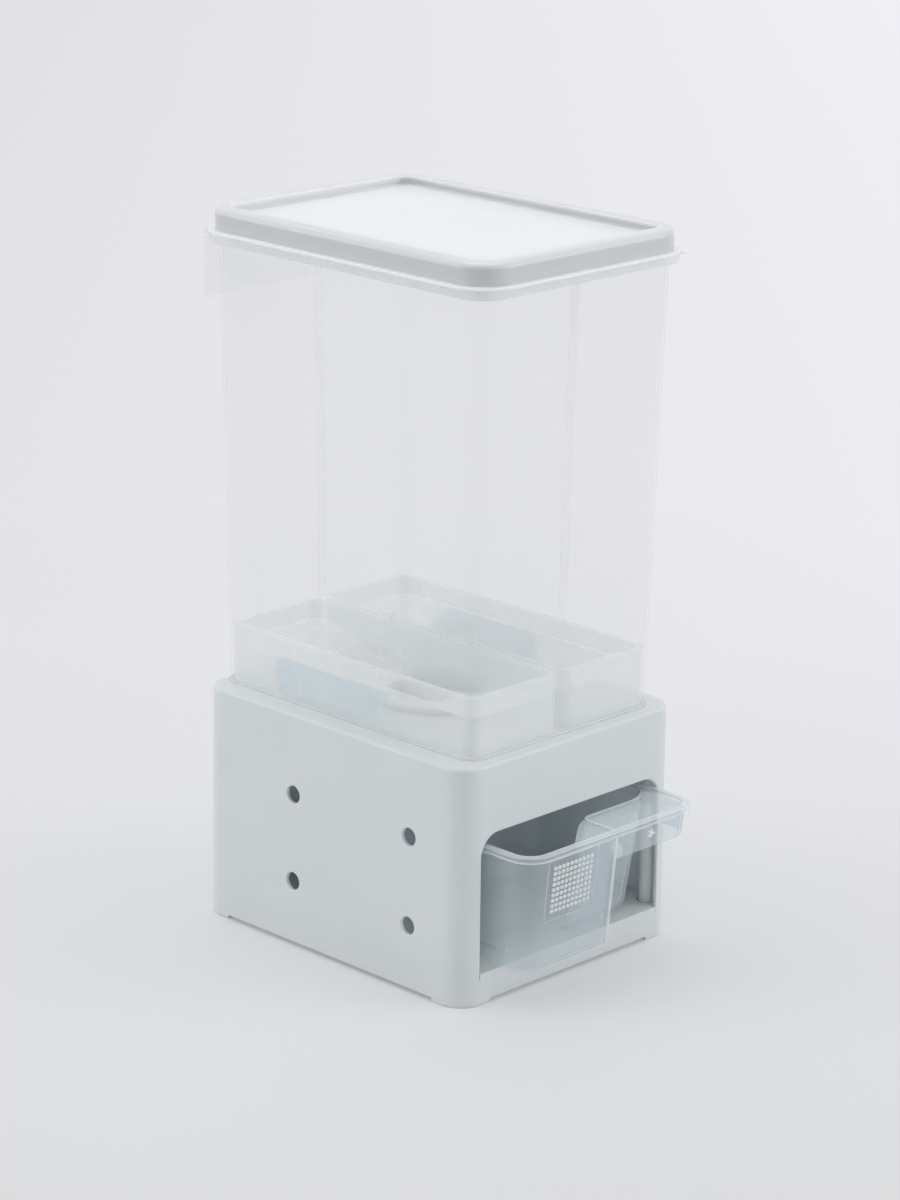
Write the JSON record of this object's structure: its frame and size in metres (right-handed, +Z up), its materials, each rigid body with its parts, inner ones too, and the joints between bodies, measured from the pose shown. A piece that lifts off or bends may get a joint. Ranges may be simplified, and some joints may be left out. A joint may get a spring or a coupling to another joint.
{
  "type": "rice dispenser with drawer",
  "caption": "Free-standing rice dispenser: lidded clear tank with a divider over hoppers, on a white base whose drawer catches the rice.",
  "frame": {"origin": "on the surface that it stands on, under the middle of the whole object with its drawer as at rest", "axes": "+Z up, -Y towards the drawer's face, +X to the right as seen from the front"},
  "size_m": [0.2, 0.302, 0.476],
  "materials": {
    "white_shell": "satin",
    "white_lid": "satin",
    "steel_screw": "zinc plated",
    "clear_drawer": "translucent, semi-gloss",
    "dot_panel": "clear with white raised dots",
    "clear_tank": "clear, faintly frosted",
    "clear_divider": "clear",
    "milky_hopper": "milky, translucent",
    "blue_insert": "pale blue, translucent",
    "clear_guide": "clear"
  },
  "bodies": {
    "base": {"base_cover": "white_shell", "floor_plate": "white_shell", "plate_screws": "steel_screw"},
    "drawer": {"drawer": "clear_drawer", "front_label": "dot_panel", "shutter_plate": "clear_drawer", "shutter_screws": "steel_screw"},
    "tank": {"tank": "clear_tank", "divider": "clear_divider", "left_hopper": "milky_hopper", "right_hopper": "milky_hopper", "left_support": "blue_insert", "right_support": "blue_insert", "left_flow_guide": "clear_guide", "right_flow_guide": "clear_guide", "outlet_chute": "milky_hopper", "gate_frame": "white_shell", "chute_screws": "steel_screw"},
    "lid": {"lid": "white_lid"},
    "left_gate": {"left_gate": "blue_insert"},
    "right_gate": {"right_gate": "blue_insert"}
  },
  "joints": [
    {"name": "drawer_slide", "type": "slide", "parent": "base", "child": "drawer", "axis": [0, -1, 0], "range_m": [-0.0385, 0.0575]},
    {"name": "tank_lift", "type": "slide", "parent": "base", "child": "tank", "axis": [0, 0, 1], "range_m": [0, 0.15]},
    {"name": "lid_lift", "type": "slide", "parent": "tank", "child": "lid", "axis": [0, 0, 1], "range_m": [0, 0.06]},
    {"name": "left_gate_slide", "type": "slide", "parent": "tank", "child": "left_gate", "axis": [0, -1, 0], "range_m": [0, 0.062]},
    {"name": "right_gate_slide", "type": "slide", "parent": "tank", "child": "right_gate", "axis": [0, -1, 0], "range_m": [0, 0.062]}
  ]
}
